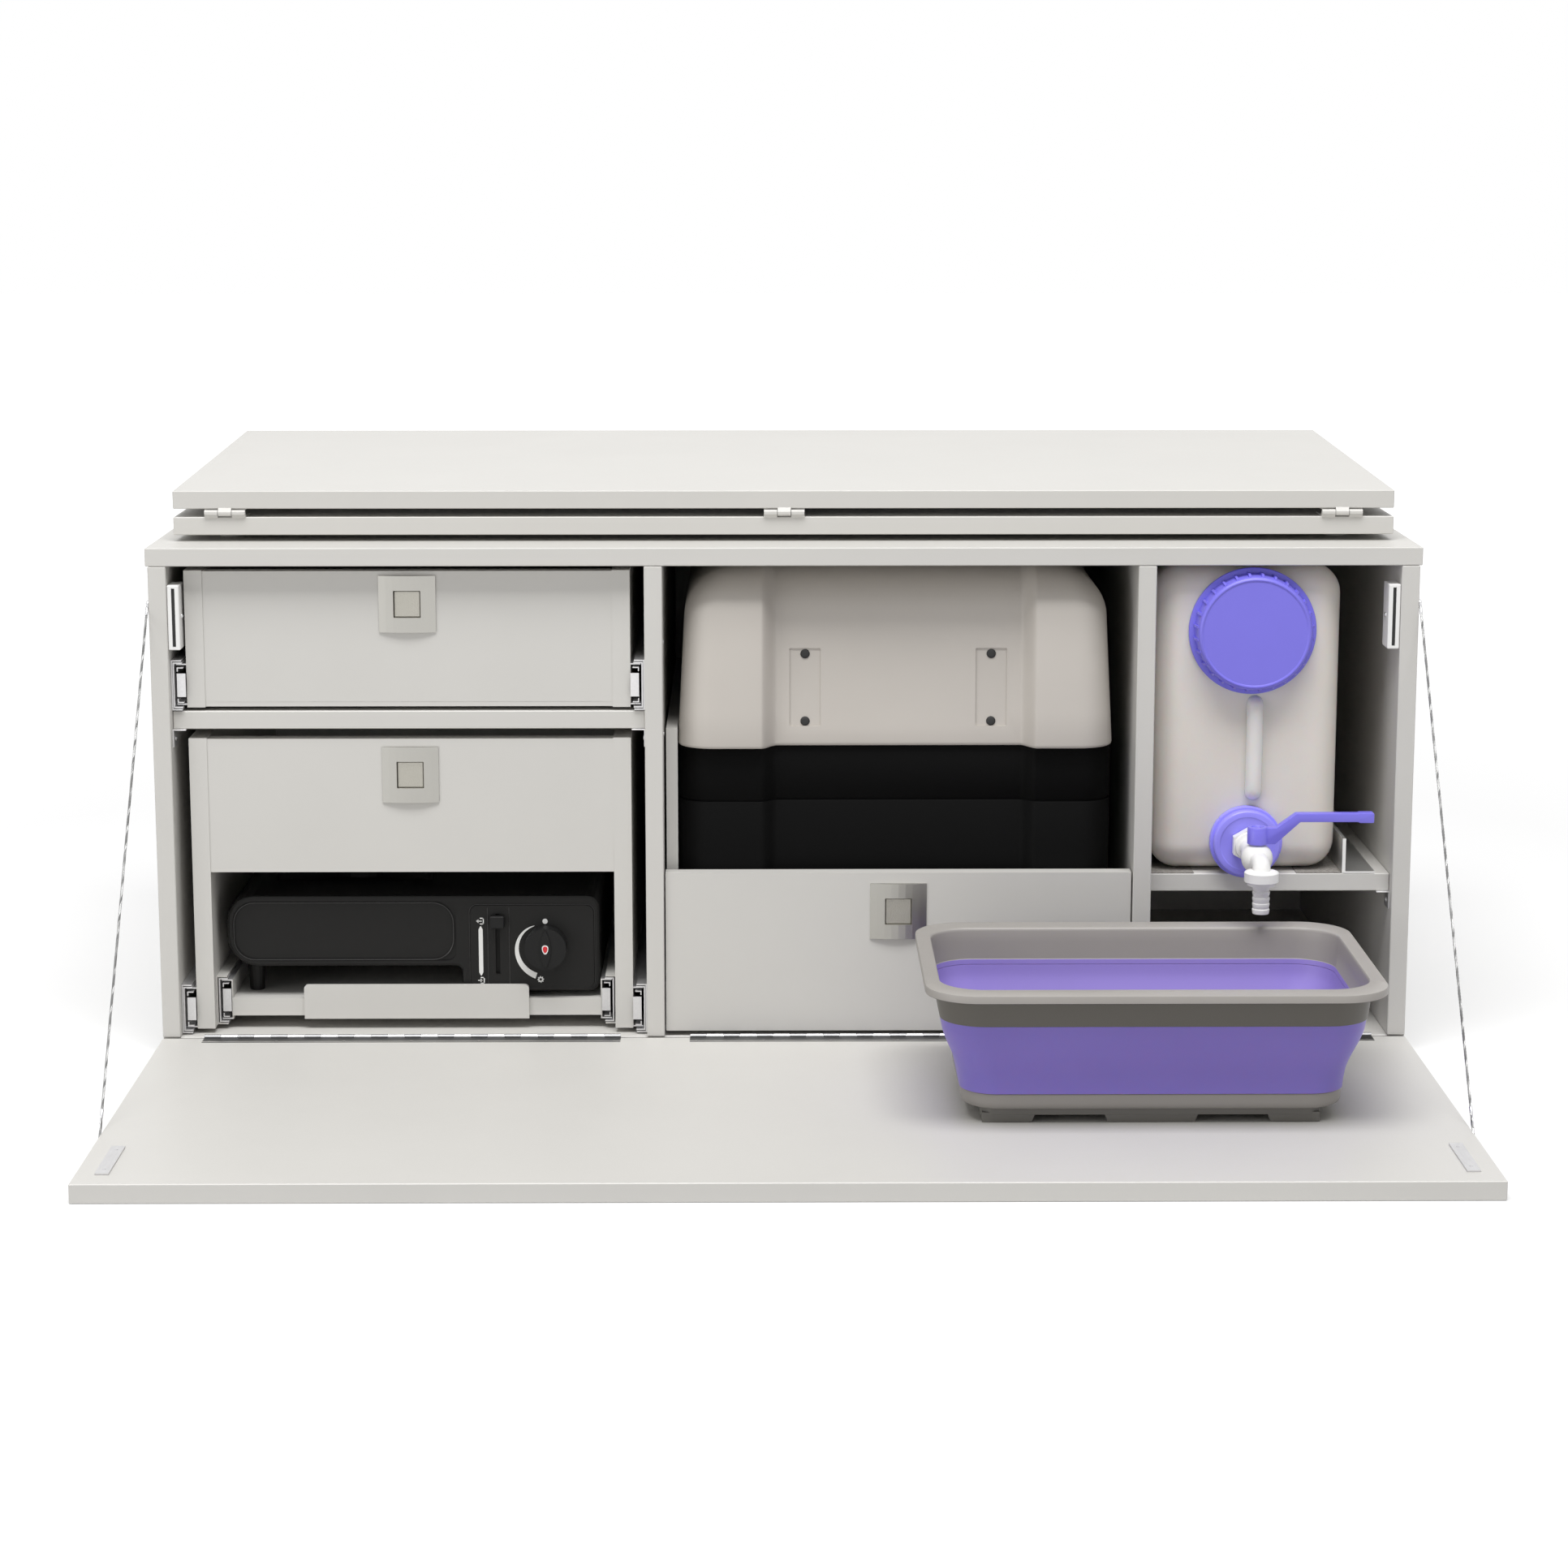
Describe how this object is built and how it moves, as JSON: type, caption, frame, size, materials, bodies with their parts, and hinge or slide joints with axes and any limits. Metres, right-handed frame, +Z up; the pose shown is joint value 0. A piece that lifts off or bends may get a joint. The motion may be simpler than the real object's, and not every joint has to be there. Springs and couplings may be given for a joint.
{
  "type": "campervan kitchen module",
  "caption": "Folding campervan kitchen cupboard with a drawer, slide-out cooker, cool box pull-out, water can with tap, basin on its open front flap and fold-out bed boards.",
  "frame": {"origin": "centre of the cabinet's underside, on the surface it stands on", "axes": "+Z up, -Y towards the open front flap, +X to the right seen from the front"},
  "size_m": [1.125, 0.9673, 0.5176],
  "materials": {
    "coated_board": "light grey laminated board with fine grain",
    "hinge_steel": "nickel-plated steel",
    "lock_nickel": "satin nickel",
    "slide_zinc": "zinc-plated sheet",
    "aluminium": "anodised profile",
    "cable": "stranded wire rope",
    "white_plastic": "moulded",
    "black_plastic": "satin moulded",
    "dark_enamel": "satin dark enamel",
    "cooler_plastic": "fine-grained moulding",
    "cooler_dark_plastic": "black moulding",
    "can_plastic": "blow-moulded, slightly translucent",
    "violet_plastic": "satin moulded",
    "violet_silicone": "soft matte silicone",
    "basin_plastic": "satin moulded"
  },
  "bodies": {
    "cabinet": {"base_panel": "coated_board", "left_side_panel": "coated_board", "right_side_panel": "coated_board", "left_partition": "coated_board", "right_partition": "coated_board", "top_panel": "coated_board", "back_panel": "coated_board", "drawer_shelf": "coated_board", "water_shelf": "coated_board", "left_magnet_catch": "white_plastic", "right_magnet_catch": "white_plastic", "left_stay_cable": "cable", "right_stay_cable": "cable", "left_base_hinge_leaf": "hinge_steel", "right_base_hinge_leaf": "hinge_steel", "can_guide_profile": "aluminium", "upper_left_rail": "slide_zinc", "upper_right_rail": "slide_zinc", "cooker_left_rail": "slide_zinc", "cooker_right_rail": "slide_zinc", "fridge_left_rail": "slide_zinc", "fridge_right_rail": "slide_zinc"},
    "flap": {"flap_panel": "coated_board", "left_flap_hinge_leaf": "hinge_steel", "right_flap_hinge_leaf": "hinge_steel", "left_strike_plate": "slide_zinc", "right_strike_plate": "slide_zinc"},
    "lower_bed": {"lower_bed_board": "coated_board"},
    "upper_bed": {"upper_bed_board": "coated_board"},
    "upper_drawer": {"upper_drawer_box": "coated_board", "upper_lock_plate": "lock_nickel"},
    "upper_button": {"upper_lock_button": "lock_nickel"},
    "upper_slides": {"upper_left_slide": "slide_zinc", "upper_right_slide": "slide_zinc"},
    "cooker_box": {"cooker_box_frame": "coated_board", "cooker_lock_plate": "lock_nickel"},
    "cooker_button": {"cooker_lock_button": "lock_nickel"},
    "cooker_slides": {"cooker_left_slide": "slide_zinc", "cooker_right_slide": "slide_zinc"},
    "tray": {"cooker_tray": "coated_board", "cooker_body": "dark_enamel"},
    "tray_slides": {"tray_left_slide": "slide_zinc", "tray_right_slide": "slide_zinc"},
    "knob": {"cooker_knob": "black_plastic"},
    "flame_lever": {"cooker_lever": "black_plastic"},
    "cool_box_pullout": {"fridge_drawer": "coated_board", "fridge_lock_plate": "lock_nickel", "cooler_body": "cooler_dark_plastic", "cooler_shell": "cooler_plastic"},
    "fridge_button": {"fridge_lock_button": "lock_nickel"},
    "fridge_slides": {"fridge_left_slide": "slide_zinc", "fridge_right_slide": "slide_zinc"},
    "water_can": {"water_can": "can_plastic", "tap_collar": "violet_plastic"},
    "cap": {"can_cap": "violet_plastic"},
    "tap": {"tap_body": "white_plastic"},
    "lever": {"tap_lever": "violet_plastic"},
    "basin": {"basin_base": "basin_plastic", "basin_wall": "violet_silicone"},
    "rim": {"basin_rim": "basin_plastic"}
  },
  "joints": [
    {"name": "flap_hinge", "type": "hinge", "parent": "cabinet", "child": "flap", "pos_m": [0, -0.26, 0.0165], "axis": [-1, 0, 0], "range_deg": [0, 90], "deforming": ["left_stay_cable", "right_stay_cable"]},
    {"name": "bed_lower_hinge", "type": "hinge", "parent": "cabinet", "child": "lower_bed", "pos_m": [0, 0.2626, 0.4619], "axis": [-1, 0, 0], "range_deg": [0, 180]},
    {"name": "bed_upper_hinge", "type": "hinge", "parent": "lower_bed", "child": "upper_bed", "pos_m": [0, -0.2096, 0.4845], "axis": [1, 0, 0], "range_deg": [0, 178]},
    {"name": "upper_drawer_slide", "type": "slide", "parent": "cabinet", "child": "upper_drawer", "axis": [0, 1, 0], "range_m": [-0.4, 0]},
    {"name": "upper_slides_slide", "type": "slide", "parent": "cabinet", "child": "upper_slides", "axis": [0, 1, 0], "range_m": [-0.2, 0]},
    {"name": "upper_button_push", "type": "slide", "parent": "upper_drawer", "child": "upper_button", "axis": [0, 1, 0], "range_m": [-0.012, 0]},
    {"name": "cooker_box_slide", "type": "slide", "parent": "cabinet", "child": "cooker_box", "axis": [0, 1, 0], "range_m": [-0.4, 0]},
    {"name": "cooker_slides_slide", "type": "slide", "parent": "cabinet", "child": "cooker_slides", "axis": [0, 1, 0], "range_m": [-0.2, 0]},
    {"name": "cooker_button_push", "type": "slide", "parent": "cooker_box", "child": "cooker_button", "axis": [0, 1, 0], "range_m": [-0.012, 0]},
    {"name": "tray_slide", "type": "slide", "parent": "cooker_box", "child": "tray", "axis": [0, 1, 0], "range_m": [-0.3, 0]},
    {"name": "tray_slides_slide", "type": "slide", "parent": "cooker_box", "child": "tray_slides", "axis": [0, 1, 0], "range_m": [-0.15, 0]},
    {"name": "cooker_knob_turn", "type": "hinge", "parent": "tray", "child": "knob", "pos_m": [-0.2161, -0.232, 0.0924], "axis": [0, 1, 0], "range_deg": [0, 135]},
    {"name": "flame_lever_slide", "type": "slide", "parent": "tray", "child": "flame_lever", "axis": [0, 0, 1], "range_m": [-0.042, 0]},
    {"name": "cool_box_slide", "type": "slide", "parent": "cabinet", "child": "cool_box_pullout", "axis": [0, 1, 0], "range_m": [-0.4, 0]},
    {"name": "fridge_slides_slide", "type": "slide", "parent": "cabinet", "child": "fridge_slides", "axis": [0, 1, 0], "range_m": [-0.2, 0]},
    {"name": "fridge_button_push", "type": "slide", "parent": "cool_box_pullout", "child": "fridge_button", "axis": [0, 1, 0], "range_m": [-0.012, 0]},
    {"name": "can_slide", "type": "slide", "parent": "cabinet", "child": "water_can", "axis": [0, 1, 0], "range_m": [0, 0.108]},
    {"name": "cap_turn", "type": "hinge", "parent": "water_can", "child": "cap", "pos_m": [0.4155, -0.25, 0.383], "axis": [0, 1, 0], "range_deg": [0, 270]},
    {"name": "tap_swivel", "type": "hinge", "parent": "water_can", "child": "tap", "pos_m": [0.4136, -0.25, 0.1924], "axis": [0, -1, 0], "range_deg": [0, 105]},
    {"name": "tap_lever_turn", "type": "hinge", "parent": "tap", "child": "lever", "pos_m": [0.4136, -0.3197, 0.218], "axis": [0, 0, 1], "range_deg": [-90, 0]},
    {"name": "basin_lift", "type": "hinge", "parent": "cool_box_pullout", "child": "basin", "pos_m": [0.301, -0.14, 0.8], "axis": [-1, 0, 0], "range_deg": [0, 127]},
    {"name": "basin_collapse", "type": "slide", "parent": "basin", "child": "rim", "axis": [0, 0, 1], "range_m": [-0.05, 0], "deforming": ["basin_wall"]}
  ],
  "couplings": [
    {"joint": "upper_slides_slide", "follows": "upper_drawer_slide", "ratio": 0.5},
    {"joint": "cooker_slides_slide", "follows": "cooker_box_slide", "ratio": 0.5},
    {"joint": "tray_slides_slide", "follows": "tray_slide", "ratio": 0.5},
    {"joint": "fridge_slides_slide", "follows": "cool_box_slide", "ratio": 0.5},
    {"joint": "basin_lift", "follows": "flap_hinge", "ratio": 1.4},
    {"joint": "can_slide", "follows": "flap_hinge", "m_per_rad": 0.0685},
    {"joint": "tap_swivel", "follows": "flap_hinge", "ratio": 1.15}
  ]
}
